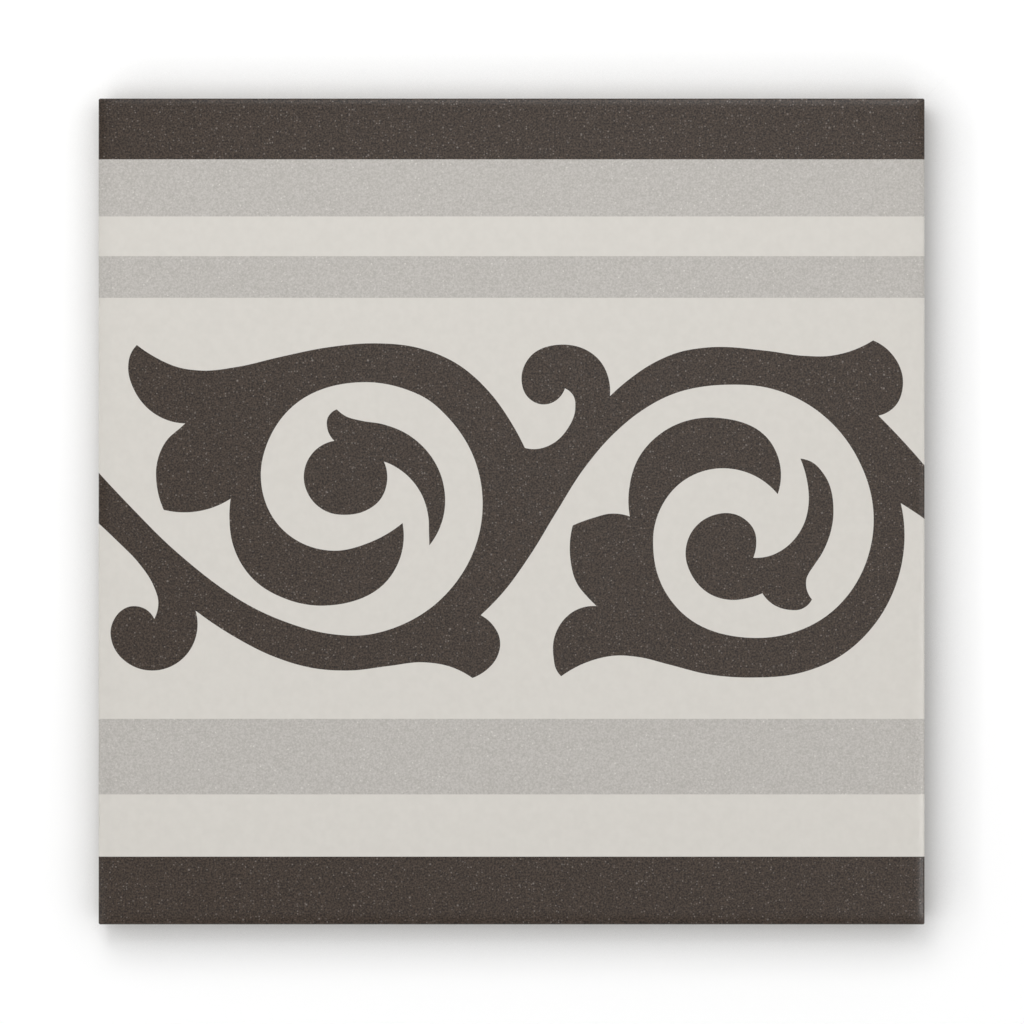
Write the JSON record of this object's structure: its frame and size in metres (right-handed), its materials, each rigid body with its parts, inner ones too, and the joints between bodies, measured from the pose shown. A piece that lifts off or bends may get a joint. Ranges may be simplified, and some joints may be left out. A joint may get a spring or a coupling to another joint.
{
  "type": "border tile",
  "caption": "Square glazed porcelain border tile with a leafy scroll between plain stripes, a rounded face edge and a keyed back, laid in a run to frame a floor.",
  "frame": {"origin": "middle of the back, on the surface that the tile lies on", "axes": "+X along the border run, +Y across the border towards the side with the narrower stripes, +Z out of the face"},
  "size_m": [0.2, 0.2, 0.009],
  "materials": {
    "glazed_porcelain": "satin printed glaze on the face, plain fired porcelain on the sides and back"
  },
  "bodies": {
    "root": {"border_tile": "glazed_porcelain"}
  },
  "joints": []
}
